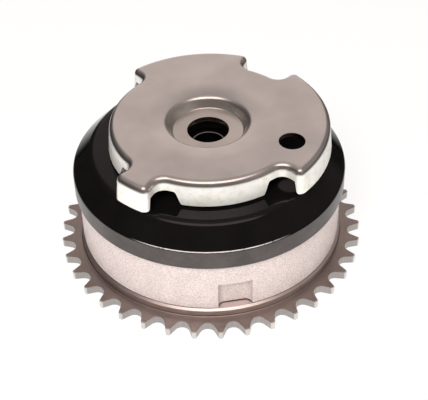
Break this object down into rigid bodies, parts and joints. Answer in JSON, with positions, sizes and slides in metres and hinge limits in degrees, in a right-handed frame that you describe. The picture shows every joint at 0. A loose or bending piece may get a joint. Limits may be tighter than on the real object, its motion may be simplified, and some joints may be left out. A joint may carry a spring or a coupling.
{
  "type": "cam phaser",
  "caption": "Hydraulic vane-type camshaft phaser with timing sprocket, black front cover and stamped trigger wheel; the rotor turns in its housing.",
  "frame": {"origin": "centre of the sprocket's rear face, which is the lowest face, on the rotation axis", "axes": "+Z along the rotation axis from the sprocket to the trigger wheel; -Y faces the picture's camera"},
  "size_m": [0.1012, 0.1012, 0.0468],
  "materials": {
    "machined_steel": "turned and ground steel, brown-grey",
    "sintered_steel": "sintered steel, pale pinkish grey with a fine grain",
    "black_coat": "glossy black coat on pressed sheet",
    "plate_steel": "ground steel",
    "rotor_steel": "sintered steel, machined",
    "hard_steel": "hardened and ground steel",
    "spring_steel": "oil-tempered spring steel",
    "screw_steel": "blackened screw steel",
    "seal_polymer": "filled seal polymer",
    "wheel_steel": "pressed sheet steel, warm grey satin"
  },
  "bodies": {
    "housing": {"sprocket": "machined_steel", "stator_housing": "sintered_steel", "front_plate": "plate_steel", "front_cover": "black_coat", "bias_spring": "spring_steel", "spring_anchor_pin": "hard_steel", "lock_seat_bush": "hard_steel", "housing_screw_1": "screw_steel", "lobe_seal_1": "seal_polymer", "lobe_seal_spring_1": "spring_steel", "housing_screw_2": "screw_steel", "lobe_seal_2": "seal_polymer", "lobe_seal_spring_2": "spring_steel", "housing_screw_3": "screw_steel", "lobe_seal_3": "seal_polymer", "lobe_seal_spring_3": "spring_steel", "housing_screw_4": "screw_steel", "lobe_seal_4": "seal_polymer", "lobe_seal_spring_4": "spring_steel", "stator_dowel_1": "hard_steel", "stator_dowel_2": "hard_steel"},
    "rotor": {"rotor": "rotor_steel", "vane_seal_1": "seal_polymer", "vane_seal_2": "seal_polymer", "vane_seal_3": "seal_polymer", "vane_seal_4": "seal_polymer", "vane_seal_spring_1": "spring_steel", "vane_seal_spring_2": "spring_steel", "vane_seal_spring_3": "spring_steel", "vane_seal_spring_4": "spring_steel", "lock_pin_sleeve": "hard_steel", "lock_spring": "spring_steel", "lock_spring_seat": "plate_steel", "hub_sleeve": "plate_steel", "sleeve_dowel": "hard_steel", "reluctor_wheel": "wheel_steel"},
    "lock_pin": {"lock_pin": "hard_steel"}
  },
  "joints": [
    {"name": "rotor_turn", "type": "hinge", "parent": "housing", "child": "rotor", "pos_m": [0, 0, 0], "axis": [0, 0, -1], "range_deg": [0, 25], "stiffness_Nm_per_rad": 0.5, "springref_deg": -34.38, "deforming": ["bias_spring"]},
    {"name": "lock_pin_slide", "type": "slide", "parent": "rotor", "child": "lock_pin", "axis": [0, 0, 1], "range_m": [0, 0.0022], "stiffness_N_per_m": 1200, "springref_m": -0.002, "deforming": ["lock_spring"]}
  ]
}
